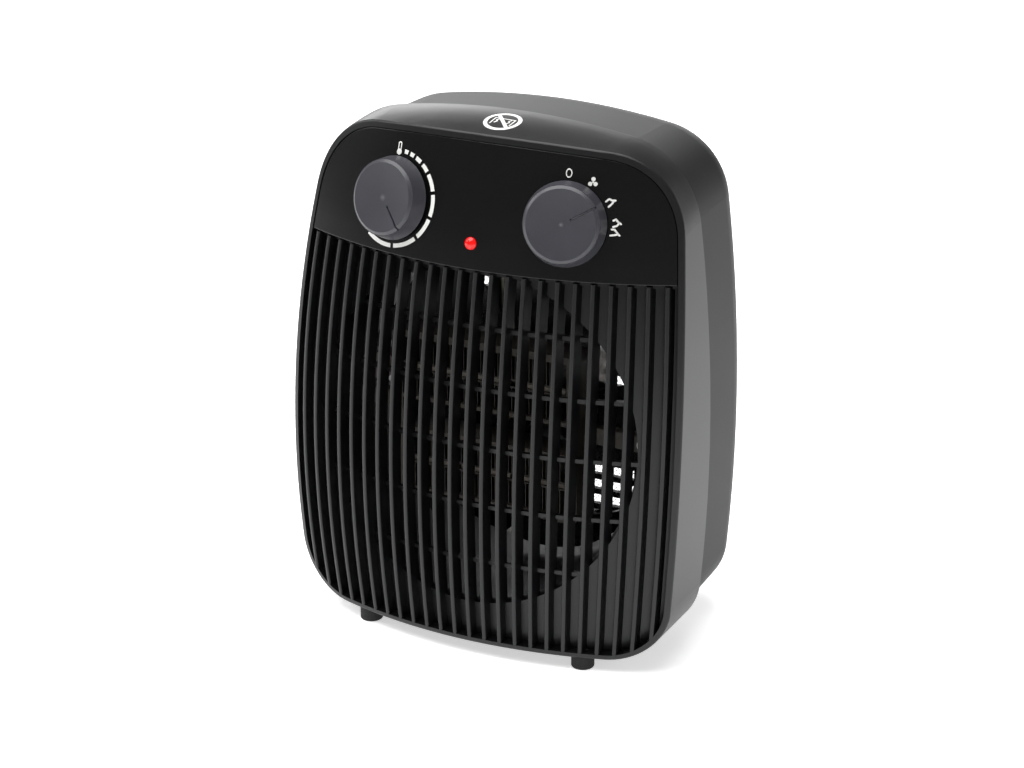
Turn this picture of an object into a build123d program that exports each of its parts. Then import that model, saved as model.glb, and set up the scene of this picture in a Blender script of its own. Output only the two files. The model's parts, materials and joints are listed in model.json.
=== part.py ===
from build123d import *
import os
from math import atan2, cos, radians, sin, sqrt

# Ceramic fan heater. X runs across the front, Y from the front to the back, Z up.
# The origin is on the floor, under the middle of the casing. All sizes are in mm.

os.makedirs("parts", exist_ok=True)

# Casing
casing_width = 198.8
casing_top = 247.9
casing_depth = 118.0
front_cover_depth = 58.0
floor_gap = 6.5
wall = 2.6
side_radius = 800.0
side_height = 102.0
crown_radius = 360.0
front_drop = 17.2
middle_drop = 4.3
top_corner = 41.0
bottom_corner = 29.0
rim_round = 1.2
dome_turn_radius = 223.6
dome_rise_radius = 524.4
dome_apex_height = 72.0
cover_lap = 4.0
cover_gap = 0.3
rear_draft = 2.0
rear_round = 22.0
joined = 0.4

# Front grille
rib_count = 24
rib_margin = 7.4
rib_width = 2.1
rib_depth = 8.2
rib_round = 0.75
bar_count = 5
bar_pitch = 27.8
bar_height = 1.9
bar_inset = 5.8
grille_wall_inset = 5.6
opening_radius = 80.0

# Control panel
panel_height = 62.9
panel_inset = 0.3
panel_thickness = 2.5
panel_gap = 0.45
panel_round = 0.5
shelf_inset = 3.0
shelf_thickness = 2.4
dial_spacing = 85.4
dial_drop = 37.75
lamp_drop = 50.7
lamp_radius = 2.8
lens_rise = 1.7
lens_flange = 3.6
lamp_gap = 0.15

# Dials
knob_face_radius = 17.3
knob_base_radius = 19.0
knob_height = 7.8
knob_disc_radius = 15.7
knob_disc_rise = 1.0
knob_dish = 0.9
pointer_start = 4.6
pointer_width = 0.9
pointer_depth = 0.7
knob_lift = 0.6
knob_wall = 1.8
knob_rim_flat = 0.25
knob_hub_wall = 2.4
knob_hub_gap = 0.02
thermostat_turn = 137.0
switch_turn = 60.0
spindle_radius = 3.0
spindle_reach = 5.4
spindle_flat = 2.0
running_gap = 0.05
hole_gap = 0.6
post_spacing = 24.0
post_radius = 3.0
post_depth = 3.0

# Air duct, fan and motor, with depths measured back from the front of the dome
duct_radius = 78.5
duct_wall = 2.0
duct_end = 78.0
fan_radius = 75.0
fan_front = 50.0
fan_length = 22.0
fan_hub_radius = 13.0
blade_count = 5
blade_pitch_angle = 19.0
blade_camber = 4.0
blade_thickness = 1.6
blade_start = 0.0
blade_half_width = 0.62
blade_tip_angle = 20.0
shaft_radius = 2.0
shaft_front = 46.5
shaft_end = 110.0
bracket_thickness = 1.6
bracket_width = 20.0
stator_front = 88.0
stator_length = 16.0
stator_width = 56.0
rotor_radius = 13.0
air_gap = 0.5
bearing_plate_thickness = 2.0
bearing_plate_gap = 3.0
motor_screw_spacing = 42.0

# Heating elements
element_front = 28.0
element_depth = 14.0
element_width = 84.0
element_height = 28.0
element_gap = 18.0
stone_count = 3
stone_thickness = 2.4
electrode_thickness = 0.7
fin_thickness = 0.35
fin_pitch = 3.5
end_cap = 5.0

# Intake, feet and fastenings
intake_radius = 76.0
slot_pitch = 8.0
slot_height = 5.0
screen_thickness = 0.8
foot_radius = 5.4
foot_spacing = 111.6
peg_radius = 2.5
peg_gap = 0.1
front_foot_depth = 17.5
rear_foot_depth = 82.0
screw_radius = 1.5
screw_head_radius = 2.9
screw_head_height = 1.8
cross_length = 3.2
cross_width = 0.7
cross_depth = 0.9
thread_gap = 0.05
clear_hole = 0.3
pilot_depth = 14.0
tower_radius = 5.6
boss_radius = 4.4
inlet_radius = 4.0
inlet_length = 12.0
inlet_boss_radius = 8.0

# Places worked out from the sizes above
half_width = casing_width / 2
front_y = -casing_depth / 2
back_y = casing_depth / 2
seam_y = front_y + front_cover_depth
dome_axis_y = front_y + dome_turn_radius
panel_bottom = casing_top - panel_height
fan_height = panel_bottom - opening_radius + 0.5
rib_pitch = 2 * (half_width - rib_margin) / (rib_count - 1)
rear_inset = wall + cover_gap
dial_height = casing_top - dial_drop
tower_end = front_cover_depth + 2.0
duct_outer = duct_radius + duct_wall
lug_angles = (38, 142, 218, 322)
lug_circle = duct_outer + 5.5
lug_depth = 40.0
lug_points = [
    (lug_circle * cos(radians(angle)), fan_height + lug_circle * sin(radians(angle)))
    for angle in lug_angles
]
tower_points = [
    (side * (half_width - inset), height)
    for side in (-1, 1)
    for inset, height in ((21.0, floor_gap + 24.0), (19.5, casing_top - 34.0))
]
inlet_place = (half_width - 34.0, floor_gap + 27.0)


def at_depth(depth):
    """Sketch plane facing the front, `depth` behind the front of the dome."""
    return Plane.XZ.offset(-(front_y + depth))


def dome_depth(x, z, inset):
    """How far behind the front the dome lies at (x, z), `inset` in from its surface."""
    reach = sqrt((dome_rise_radius - inset) ** 2 - (z - dome_apex_height) ** 2)
    turn = reach - (dome_rise_radius - dome_turn_radius)
    return dome_turn_radius - sqrt(turn ** 2 - x ** 2)


def dome_plane(x, z):
    """Plane tangent to the dome at (x, z), facing out."""
    depth = dome_depth(x, z, 0)
    rise = (z - dome_apex_height) / dome_rise_radius
    run = sqrt(1 - rise ** 2)
    turn = sqrt(x ** 2 + (dome_turn_radius - depth) ** 2)
    across = x / turn
    along = (depth - dome_turn_radius) / turn
    return Plane(
        origin=(x, front_y + depth, z),
        x_dir=(-along, across, 0),
        z_dir=(run * across, run * along, rise),
    )


def turned(plane, angle):
    """The same plane with its X axis turned by `angle` about its own normal."""
    spin = Axis(plane.origin, plane.z_dir)
    return Plane(origin=plane.origin, x_dir=plane.x_dir.rotate(spin, angle), z_dir=plane.z_dir)


def behind_dome(inset):
    """All the space behind the domed front, `inset` in from its surface."""
    arc_radius = dome_rise_radius - inset
    arc_centre = dome_axis_y - (dome_rise_radius - dome_turn_radius)
    low = -20.0
    high = casing_top + 40.0

    def edge(z):
        return (arc_centre + sqrt(arc_radius ** 2 - (z - dome_apex_height) ** 2), z)

    with BuildPart() as space:
        with BuildSketch(Plane.YZ):
            with BuildLine():
                ThreePointArc(edge(low), edge(dome_apex_height), edge(high))
                Polyline(edge(high), (dome_axis_y, high), (dome_axis_y, low), edge(low))
            make_face()
        revolve(axis=Axis((0, dome_axis_y, 0), (0, 0, 1)))
    return space.part


def casing_outline(inset, depth, drop=0.0):
    """The casing's outline seen from the front, `inset` in, with its top `drop` lower."""
    with BuildSketch(at_depth(depth)) as outline:
        with Locations((side_radius - half_width, side_height)):
            Circle(side_radius - inset)
        with Locations((half_width - side_radius, side_height)):
            Circle(side_radius - inset, mode=Mode.INTERSECT)
        with Locations((0, casing_top - drop - crown_radius)):
            Circle(crown_radius - inset, mode=Mode.INTERSECT)
        with Locations((0, floor_gap + inset + casing_top)):
            Rectangle(2 * casing_width, 2 * casing_top, mode=Mode.INTERSECT)
        fillet(outline.vertices().group_by(Axis.Y)[-1], top_corner - inset)
        fillet(outline.vertices().group_by(Axis.Y)[0], bottom_corner - inset)
    return outline.sketch


def casing_block(inset):
    """The outline run forward from the seam, with its top falling towards the front."""
    sections = [
        casing_outline(inset, front_cover_depth).face(),
        casing_outline(inset, front_cover_depth / 2, middle_drop).face(),
        casing_outline(inset, 0, front_drop).face(),
    ]
    with BuildPart() as block:
        loft(sections)
    return block.part


def dome_sheet(inset, thickness, edge_inset, low, high):
    """A curved sheet that follows the dome between two heights."""
    with BuildPart() as sheet:
        add(casing_block(edge_inset))
        add(behind_dome(inset), mode=Mode.INTERSECT)
        add(behind_dome(inset + thickness), mode=Mode.SUBTRACT)
        with Locations((0, front_y + front_cover_depth / 2, (low + high) / 2)):
            Box(2 * casing_width, 2 * front_cover_depth, high - low, mode=Mode.INTERSECT)
    return sheet.part


def write(part, name):
    part.part.label = name
    export_step(part.part, f"parts/{name}.step")


def grille_rib(place, front_space, back_space, clip):
    """One upright blade of the grille, bowed outwards like the casing's sides."""
    shift = (rib_count - 1) / 2
    middle = (place - shift) * rib_pitch
    bow = abs(side_radius * half_width / middle)
    low = floor_gap
    high = panel_bottom

    def point(edge, z):
        side = 1 if middle > 0 else -1
        centre = middle - side * bow
        return (centre + side * sqrt((bow + side * edge) ** 2 - (z - side_height) ** 2), z)

    with BuildPart() as rib:
        with BuildSketch(at_depth(front_cover_depth)):
            with BuildLine():
                ThreePointArc(
                    point(-rib_width / 2, low),
                    point(-rib_width / 2, side_height),
                    point(-rib_width / 2, high),
                )
                Line(point(-rib_width / 2, high), point(rib_width / 2, high))
                ThreePointArc(
                    point(rib_width / 2, high),
                    point(rib_width / 2, side_height),
                    point(rib_width / 2, low),
                )
                Line(point(rib_width / 2, low), point(-rib_width / 2, low))
            make_face()
        extrude(amount=front_cover_depth)
        add(front_space, mode=Mode.INTERSECT)
        add(back_space, mode=Mode.SUBTRACT)
        front_face = rib.faces().sort_by(Axis.Y)[0]
        long_edges = front_face.edges().sort_by(SortBy.LENGTH)[-2:]
        fillet(long_edges, rib_round)
        add(clip, mode=Mode.INTERSECT)
    return rib.part


dome_space = behind_dome(0)
rib_back_space = behind_dome(rib_depth)
inside_block = casing_block(wall - joined)
grille_sheet = dome_sheet(
    grille_wall_inset, rib_depth - grille_wall_inset, wall - joined, 0, panel_bottom + 0.4
)
shelf_sheet = dome_sheet(
    shelf_inset, shelf_thickness, wall - joined, panel_bottom - 1.4, casing_top + 10
)
ledge_sheet = dome_sheet(
    shelf_inset, rib_depth - shelf_inset, wall - joined, panel_bottom - 1.4, panel_bottom + 0.4
)
ribs = [
    grille_rib(place, dome_space, rib_back_space, inside_block) for place in range(rib_count)
]

dial_planes = {
    "thermostat": dome_plane(-dial_spacing / 2, dial_height),
    "switch": dome_plane(dial_spacing / 2, dial_height),
}
lamp_plane = dome_plane(0, casing_top - lamp_drop)
lamp_hole = lamp_radius + lamp_gap


def screw_bosses(points, end, inset):
    """Posts with pilot holes, from the wall at `inset` behind the dome back to `end`."""
    with BuildPart() as posts:
        with BuildSketch(at_depth(end)):
            with Locations(*points):
                Circle(boss_radius)
        extrude(amount=end)
        add(behind_dome(inset), mode=Mode.INTERSECT)
        with BuildSketch(at_depth(end)):
            with Locations(*points):
                Circle(screw_radius)
        extrude(amount=pilot_depth, mode=Mode.SUBTRACT)
    return posts.part


low_bosses = screw_bosses(
    [place for place in tower_points if place[1] < panel_bottom], tower_end, grille_wall_inset + 1
)
high_bosses = screw_bosses(
    [place for place in tower_points if place[1] > panel_bottom], tower_end, shelf_inset + 1
)
lug_bosses = screw_bosses(lug_points, lug_depth, grille_wall_inset + 1)

with BuildPart() as grille_bars:
    middle_bar = fan_height - 2.2
    for row in range(bar_count):
        bar_z = middle_bar + (row - (bar_count - 1) / 2) * bar_pitch
        with Locations((0, front_y + 25, bar_z)):
            Box(2 * opening_radius + 8, 50, bar_height)
    add(behind_dome(bar_inset), mode=Mode.INTERSECT)
    add(behind_dome(rib_depth - 0.2), mode=Mode.SUBTRACT)
    with BuildSketch(at_depth(50)):
        with Locations((0, fan_height)):
            Circle(opening_radius + 1)
    extrude(amount=60, mode=Mode.INTERSECT)

# Front cover: rim, ribs, bars, the wall behind the ribs and the shelf behind the panel
with BuildPart() as front_cover:
    add(casing_block(0))
    add(dome_space, mode=Mode.INTERSECT)
    rim = front_cover.edges().filter_by(lambda edge: edge.bounding_box().max.Y < seam_y - 4)
    fillet(rim, rim_round)
    add(casing_block(wall), mode=Mode.SUBTRACT)
    add(grille_sheet)
    with BuildSketch(at_depth(50)):
        with Locations((0, fan_height)):
            Circle(opening_radius)
    extrude(amount=60, mode=Mode.SUBTRACT)
    add(shelf_sheet)
    add(ledge_sheet)
    add(ribs)
    add(grille_bars.part)
    for plane in dial_planes.values():
        with BuildSketch(plane.offset(-shelf_inset - 0.6)):
            with GridLocations(post_spacing, 1, 2, 1):
                Circle(post_radius)
        extrude(amount=-(shelf_thickness - 0.6 + post_depth))
        with BuildSketch(plane.offset(1)):
            Circle(spindle_radius + hole_gap)
        extrude(amount=-12, mode=Mode.SUBTRACT)
        with BuildSketch(plane.offset(-shelf_inset - shelf_thickness - post_depth)):
            with GridLocations(post_spacing, 1, 2, 1):
                Circle(screw_radius)
        extrude(amount=post_depth + 1.2, mode=Mode.SUBTRACT)
    with BuildSketch(lamp_plane.offset(1)):
        Circle(lamp_hole)
    extrude(amount=-12, mode=Mode.SUBTRACT)
    add(low_bosses)
    add(high_bosses)
    add(lug_bosses)
    with BuildSketch(Plane.XY.offset(floor_gap - 1)):
        with Locations((0, front_y + front_foot_depth)):
            with GridLocations(foot_spacing, 1, 2, 1):
                Circle(peg_radius + peg_gap)
    extrude(amount=wall + 2, mode=Mode.SUBTRACT)
write(front_cover, "front_cover")

# Control panel: a curved plate laid into the top of the front
with BuildPart() as control_panel:
    add(
        dome_sheet(
            panel_inset,
            panel_thickness,
            wall + panel_gap,
            panel_bottom + 0.5,
            casing_top + 10,
        )
    )
    panel_face = control_panel.faces().sort_by(SortBy.AREA)[-2:].sort_by(Axis.Y)[0]
    fillet(panel_face.edges(), panel_round)
    for plane in dial_planes.values():
        with BuildSketch(plane.offset(3)):
            Circle(spindle_radius + hole_gap)
        extrude(amount=-12, mode=Mode.SUBTRACT)
    with BuildSketch(lamp_plane.offset(3)):
        Circle(lamp_hole)
    extrude(amount=-12, mode=Mode.SUBTRACT)
write(control_panel, "control_panel")


def tapered_block(inset, near, far, round_radius):
    """The rear cover's outline run back from one depth to another, with a round end."""
    with BuildPart() as block:
        extrude(casing_outline(inset, near), amount=-(far - near), taper=rear_draft)
        fillet(block.faces().sort_by(Axis.Y)[-1].edges(), round_radius)
    return block.part


# Rear cover: slides into the front cover, with the air intake in its back
rear_start = front_cover_depth - cover_lap
rear_floor = floor_gap + rear_inset
screen_back = casing_depth - wall - 1.6
block_seat = rear_floor + wall + 2.5
block_back = 98.0
block_size = (34.0, 16.0, 12.0)
with BuildPart() as tower_tubes:
    with BuildSketch(at_depth(tower_end)):
        with Locations(*tower_points):
            Circle(tower_radius)
    extrude(amount=-(casing_depth - tower_end))
    add(
        tapered_block(rear_inset + 1, rear_start, casing_depth - 1, rear_round - 1),
        mode=Mode.INTERSECT,
    )
with BuildPart() as rear_cover:
    add(tapered_block(rear_inset, rear_start, casing_depth, rear_round))
    add(
        tapered_block(rear_inset + wall, rear_start - 0.01, casing_depth - wall, rear_round - wall),
        mode=Mode.SUBTRACT,
    )
    with BuildSketch(at_depth(casing_depth + 5)):
        with Locations((0, fan_height)):
            Circle(intake_radius)
            rows = int(intake_radius / slot_pitch)
            with Locations(*[(0, row * slot_pitch) for row in range(-rows, rows + 1)]):
                Rectangle(2 * intake_radius, slot_pitch - slot_height, mode=Mode.SUBTRACT)
            with Locations((-intake_radius / 2, 0), (0, 0), (intake_radius / 2, 0)):
                Rectangle(3, 2 * intake_radius, mode=Mode.SUBTRACT)
    extrude(amount=25, mode=Mode.SUBTRACT)
    add(tower_tubes.part)
    with BuildSketch(at_depth(screen_back)):
        with Locations((0, fan_height)):
            Circle(intake_radius + 2.5)
            Circle(intake_radius + 0.5, mode=Mode.SUBTRACT)
    extrude(amount=-3)
    with BuildSketch(at_depth(tower_end + 2.5)):
        with Locations(*tower_points):
            Circle(screw_head_radius + 0.6)
    extrude(amount=-casing_depth, mode=Mode.SUBTRACT)
    with BuildSketch(at_depth(tower_end - 1)):
        with Locations(*tower_points):
            Circle(screw_radius + clear_hole)
    extrude(amount=-casing_depth, mode=Mode.SUBTRACT)
    with BuildSketch(at_depth(casing_depth)):
        with Locations(inlet_place):
            Circle(inlet_boss_radius)
    extrude(amount=inlet_length)
    with BuildSketch(at_depth(casing_depth + 1)):
        with Locations(inlet_place):
            Circle(inlet_radius)
    extrude(amount=inlet_length + 2, mode=Mode.SUBTRACT)
    with BuildSketch(Plane.XY.offset(rear_floor)):
        with Locations((0, front_y + rear_foot_depth)):
            with GridLocations(foot_spacing, 1, 2, 1):
                Circle(foot_radius + 1.6)
    extrude(amount=wall + 1.6)
    with BuildSketch(Plane.XY.offset(rear_floor + wall)):
        with Locations((0, front_y + block_back - block_size[1] / 2)):
            Rectangle(block_size[0], block_size[1])
    extrude(amount=block_seat - rear_floor - wall)
    with BuildSketch(Plane.XY.offset(floor_gap)):
        with Locations((0, front_y + rear_foot_depth)):
            with GridLocations(foot_spacing, 1, 2, 1):
                Circle(peg_radius + peg_gap)
    extrude(amount=wall + 8, mode=Mode.SUBTRACT)
write(rear_cover, "rear_cover")

# Dust screen behind the intake slots
with BuildPart() as dust_screen:
    with BuildSketch(at_depth(screen_back)):
        with Locations((0, fan_height)):
            Circle(intake_radius + 0.5)
    extrude(amount=screen_thickness)
write(dust_screen, "dust_screen")
with BuildPart() as screen_ring:
    with BuildSketch(at_depth(screen_back)):
        with Locations((0, fan_height)):
            Circle(intake_radius + 2.5)
            Circle(intake_radius + 0.5, mode=Mode.SUBTRACT)
    extrude(amount=3.0)
write(screen_ring, "screen_ring")

# Rubber feet, each with a peg pushed into the casing
with BuildPart() as rubber_feet:
    for depth, seat, thick in (
        (front_foot_depth, floor_gap, wall),
        (rear_foot_depth, rear_floor, wall + 1.6),
    ):
        spots = [(side * foot_spacing / 2, front_y + depth) for side in (-1, 1)]
        with BuildSketch(Plane.XY):
            with Locations(*spots):
                Circle(foot_radius)
        extrude(amount=seat)
        with BuildSketch(Plane.XY.offset(seat)):
            with Locations(*spots):
                Circle(peg_radius)
        extrude(amount=thick)
    fillet(rubber_feet.edges().filter_by(GeomType.CIRCLE).group_by(Axis.Z)[0], 0.8)
write(rubber_feet, "rubber_feet")


def screws(name, points, head_depth, length, back=True):
    """Round-headed screws along Y with their heads' inner faces at `head_depth`."""
    turn = 1 if back else -1
    with BuildPart() as group:
        with BuildSketch(at_depth(head_depth)):
            with Locations(*points):
                Circle(screw_head_radius)
        extrude(amount=-turn * screw_head_height)
        with BuildSketch(at_depth(head_depth + turn * screw_head_height)):
            with Locations(*points):
                Rectangle(cross_length, cross_width)
                Rectangle(cross_width, cross_length)
        extrude(amount=turn * cross_depth, mode=Mode.SUBTRACT)
        with BuildSketch(at_depth(head_depth)):
            with Locations(*points):
                Circle(screw_radius - thread_gap)
        extrude(amount=turn * length)
    write(group, name)


screws("cover_screws", tower_points, tower_end + 2.5, 14)

# Air duct: a ring that follows the grille wall, with lugs for its screws and the bracket's
bracket_reach = duct_outer + 7.0
bracket_points = [(-bracket_reach, fan_height), (bracket_reach, fan_height)]
frame_back = element_front + element_depth + 2.0
pad_depth = 4.5
arm_points = [(-duct_radius + 4, fan_height), (duct_radius - 4, fan_height)]
with BuildPart() as fan_duct:
    with BuildSketch(at_depth(duct_end)):
        with Locations((0, fan_height)):
            Circle(duct_outer)
    extrude(amount=duct_end)
    add(behind_dome(rib_depth + 0.4), mode=Mode.INTERSECT)
    for x, z in lug_points:
        with BuildSketch(at_depth(lug_depth + 3)):
            with Locations((x, z)):
                Circle(boss_radius + 0.4)
            with Locations((x * 0.96, fan_height + (z - fan_height) * 0.96)):
                Circle(boss_radius + 0.4)
        extrude(amount=3)
    with BuildSketch(at_depth(duct_end)):
        with Locations(*bracket_points):
            Circle(4.6)
        with Locations((-duct_outer - 1.5, fan_height), (duct_outer + 1.5, fan_height)):
            Rectangle(11, 9.2)
    extrude(amount=8)
    with BuildSketch(at_depth(duct_end + 1)):
        with Locations((0, fan_height)):
            Circle(duct_radius)
    extrude(amount=duct_end, mode=Mode.SUBTRACT)
    with BuildSketch(at_depth(lug_depth + 4)):
        with Locations(*lug_points):
            Circle(screw_radius + clear_hole)
    extrude(amount=5, mode=Mode.SUBTRACT)
    with BuildSketch(at_depth(duct_end)):
        with Locations(*bracket_points):
            Circle(screw_radius)
    extrude(amount=9, mode=Mode.SUBTRACT)
    # pads inside the ring that carry the heating elements
    with BuildSketch(at_depth(frame_back + pad_depth)):
        with Locations((-duct_radius + 3, fan_height), (duct_radius - 3, fan_height)):
            Rectangle(8, 8)
    extrude(amount=pad_depth)
    with BuildSketch(at_depth(frame_back + pad_depth)):
        with Locations(*arm_points):
            Circle(1.2)
    extrude(amount=pad_depth, mode=Mode.SUBTRACT)
write(fan_duct, "fan_duct")
screws("duct_screws", lug_points, lug_depth + 3, 12)

# Motor bracket: a steel bridge across the back of the duct
with BuildPart() as motor_bracket:
    with BuildSketch(at_depth(duct_end + bracket_thickness)):
        with Locations((0, fan_height)):
            Rectangle(2 * bracket_reach + 10, bracket_width)
            Circle(30)
            Circle(6.5, mode=Mode.SUBTRACT)
            with GridLocations(motor_screw_spacing, 1, 2, 1):
                Circle(screw_radius + clear_hole, mode=Mode.SUBTRACT)
        with Locations(*bracket_points):
            Circle(screw_radius + clear_hole, mode=Mode.SUBTRACT)
    extrude(amount=bracket_thickness)
    fillet(motor_bracket.edges().filter_by(Axis.Y).group_by(Axis.X)[0], 3)
    fillet(motor_bracket.edges().filter_by(Axis.Y).group_by(Axis.X)[-1], 3)
write(motor_bracket, "motor_bracket")
screws("bracket_screws", bracket_points, duct_end + bracket_thickness, 7)

# Fan: hub and blades
fan_plane = Plane(
    origin=(0, front_y + fan_front, fan_height), x_dir=(1, 0, 0), z_dir=(0, 1, 0)
)


def fan_blade(turn):
    """One cambered blade that runs out along the turned plane's X axis."""
    edge_plane = Plane(
        origin=turn.origin + turn.z_dir * (fan_length / 2), x_dir=turn.y_dir, z_dir=turn.x_dir
    )
    half = fan_radius * blade_half_width
    rise = half * sin(radians(blade_pitch_angle))
    inner = fan_hub_radius - 2
    tip_angle = radians(blade_tip_angle)
    tip_start = (fan_radius * cos(tip_angle), -fan_radius * sin(tip_angle))
    tip_end = (fan_radius * cos(tip_angle), fan_radius * sin(tip_angle))
    with BuildPart() as vane:
        with BuildSketch(edge_plane):
            with BuildLine():
                upper = ThreePointArc((-half, -rise), (0, blade_camber), (half, rise))
                lower = ThreePointArc(
                    (-half, -rise - blade_thickness),
                    (0, blade_camber - blade_thickness),
                    (half, rise - blade_thickness),
                )
                Line(upper @ 0, lower @ 0)
                Line(upper @ 1, lower @ 1)
            make_face()
        extrude(amount=fan_radius + 5)
        with BuildSketch(turn.offset(-10)):
            with BuildLine():
                ThreePointArc(tip_start, (fan_radius, 0), tip_end)
                ThreePointArc(tip_end, (fan_radius * 0.55, fan_radius * 0.36), (inner, inner / 2))
                Line((inner, inner / 2), (inner, -inner / 2))
                ThreePointArc(
                    (inner, -inner / 2), (fan_radius * 0.6, -fan_radius * 0.2), tip_start
                )
            make_face()
        extrude(amount=fan_length + 20, mode=Mode.INTERSECT)
    return vane.part


blades = [
    fan_blade(turned(fan_plane, 360 / blade_count * blade + blade_start))
    for blade in range(blade_count)
]
with BuildPart() as impeller:
    with BuildSketch(fan_plane):
        Circle(fan_hub_radius)
    extrude(amount=fan_length + 2)
    fillet(impeller.edges().group_by(Axis.Y)[0], 3)
    add(blades)
    with BuildSketch(fan_plane.offset(-1)):
        Circle(shaft_radius)
    extrude(amount=fan_length + 5, mode=Mode.SUBTRACT)
write(impeller, "impeller")

# Motor shaft and rotor
with BuildPart() as motor_shaft:
    with BuildSketch(at_depth(shaft_end)):
        with Locations((0, fan_height)):
            Circle(shaft_radius)
    extrude(amount=shaft_end - shaft_front)
    chamfer(motor_shaft.edges().filter_by(GeomType.CIRCLE), 0.4)
write(motor_shaft, "motor_shaft")
with BuildPart() as shaft_nut:
    with BuildSketch(at_depth(fan_front)):
        with Locations((0, fan_height)):
            RegularPolygon(4.6, 6)
            Circle(shaft_radius, mode=Mode.SUBTRACT)
    extrude(amount=2.8)
write(shaft_nut, "shaft_nut")
with BuildPart() as motor_rotor:
    with BuildSketch(at_depth(stator_front + stator_length)):
        with Locations((0, fan_height)):
            Circle(rotor_radius)
            Circle(shaft_radius, mode=Mode.SUBTRACT)
    extrude(amount=stator_length)
    chamfer(motor_rotor.edges().filter_by(GeomType.CIRCLE).sort_by(SortBy.RADIUS)[-2:], 0.6)
write(motor_rotor, "motor_rotor")

# Stator: laminations with two limbs up to the bar that carries the coil
limb_width = 10.0
limb_height = 56.0
coil_bar = 12.0
with BuildPart() as motor_stator:
    with BuildSketch(at_depth(stator_front + stator_length)):
        with Locations((0, fan_height)):
            Rectangle(stator_width, stator_width * 0.72)
            with Locations((0, limb_height / 2)):
                Rectangle(stator_width, limb_height)
            with Locations((0, (limb_height - coil_bar + stator_width * 0.36) / 2)):
                Rectangle(
                    stator_width - 2 * limb_width,
                    limb_height - coil_bar - stator_width * 0.36,
                    mode=Mode.SUBTRACT,
                )
            Circle(rotor_radius + air_gap, mode=Mode.SUBTRACT)
            with GridLocations(motor_screw_spacing, 1, 2, 1):
                Circle(screw_radius + clear_hole, mode=Mode.SUBTRACT)
            with Locations((-rotor_radius - 4, 6), (rotor_radius + 4, -6)):
                Circle(1.3, mode=Mode.SUBTRACT)
    extrude(amount=stator_length)
write(motor_stator, "motor_stator")

coil_height = fan_height + limb_height - coil_bar / 2
bobbin_length = stator_width - 2 * limb_width - 1.0
coil_build = 8.0
bobbin_wall = 1.2
stator_middle = stator_front + stator_length / 2
coil_plane = Plane(
    origin=(-bobbin_length / 2, front_y + stator_middle, coil_height),
    x_dir=(0, 1, 0),
    z_dir=(1, 0, 0),
)
with BuildPart() as coil_bobbin:
    with BuildSketch(coil_plane):
        Rectangle(stator_length + 0.6 + 2 * bobbin_wall, coil_bar + 0.6 + 2 * bobbin_wall)
    extrude(amount=bobbin_length)
    for start in (0, bobbin_length - 1.4):
        with BuildSketch(coil_plane.offset(start)):
            RectangleRounded(
                stator_length + 2 * coil_build, coil_bar + 2 * coil_build + 1, 2.0
            )
        extrude(amount=1.4)
    with BuildSketch(coil_plane.offset(-1)):
        Rectangle(stator_length + 0.6, coil_bar + 0.6)
    extrude(amount=bobbin_length + 2, mode=Mode.SUBTRACT)
write(coil_bobbin, "coil_bobbin")
with BuildPart() as motor_coil:
    with BuildSketch(coil_plane.offset(1.45)):
        RectangleRounded(stator_length + 2 * coil_build - 2, coil_bar + 2 * coil_build - 1, 4.0)
        Rectangle(
            stator_length + 0.7 + 2 * bobbin_wall,
            coil_bar + 0.7 + 2 * bobbin_wall,
            mode=Mode.SUBTRACT,
        )
    extrude(amount=bobbin_length - 2.9)
write(motor_coil, "motor_coil")
with BuildPart() as shading_rings:
    for side in (-1, 1):
        with BuildSketch(at_depth(stator_front + stator_length + 1.2)):
            with Locations((side * (rotor_radius + 4), fan_height - side * 6)):
                Circle(1.25)
        extrude(amount=stator_length + 2.4)
write(shading_rings, "shading_rings")


def bearing_plate(name, start, inner):
    """Cast bridge that holds one bush, screwed to the stator. `inner` is +1 towards the back."""
    with BuildPart() as plate:
        with BuildSketch(at_depth(start + bearing_plate_thickness)):
            with Locations((0, fan_height)):
                SlotOverall(motor_screw_spacing + 11, 11)
                Circle(10)
        extrude(amount=bearing_plate_thickness)
        foot_start = start + bearing_plate_thickness if inner > 0 else start
        with BuildSketch(at_depth(foot_start)):
            with Locations((0, fan_height)):
                with GridLocations(motor_screw_spacing, 1, 2, 1):
                    Circle(4.2)
        extrude(amount=-inner * bearing_plate_gap)
        with BuildSketch(at_depth(start - 1)):
            with Locations((0, fan_height)):
                Circle(4.0)
                with GridLocations(motor_screw_spacing, 1, 2, 1):
                    Circle(screw_radius + clear_hole)
        extrude(amount=-12, both=True, mode=Mode.SUBTRACT)
    write(plate, name)
    with BuildPart() as bush:
        with BuildSketch(at_depth(start + bearing_plate_thickness + 0.5)):
            with Locations((0, fan_height)):
                Circle(4.0)
                Circle(shaft_radius + running_gap, mode=Mode.SUBTRACT)
        extrude(amount=bearing_plate_thickness + 1.0)
    write(bush, name.replace("plate", "bush"))


front_plate_start = stator_front - bearing_plate_gap - bearing_plate_thickness
rear_plate_start = stator_front + stator_length + bearing_plate_gap
bearing_plate("front_bearing_plate", front_plate_start, 1)
bearing_plate("rear_bearing_plate", rear_plate_start, -1)

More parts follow.
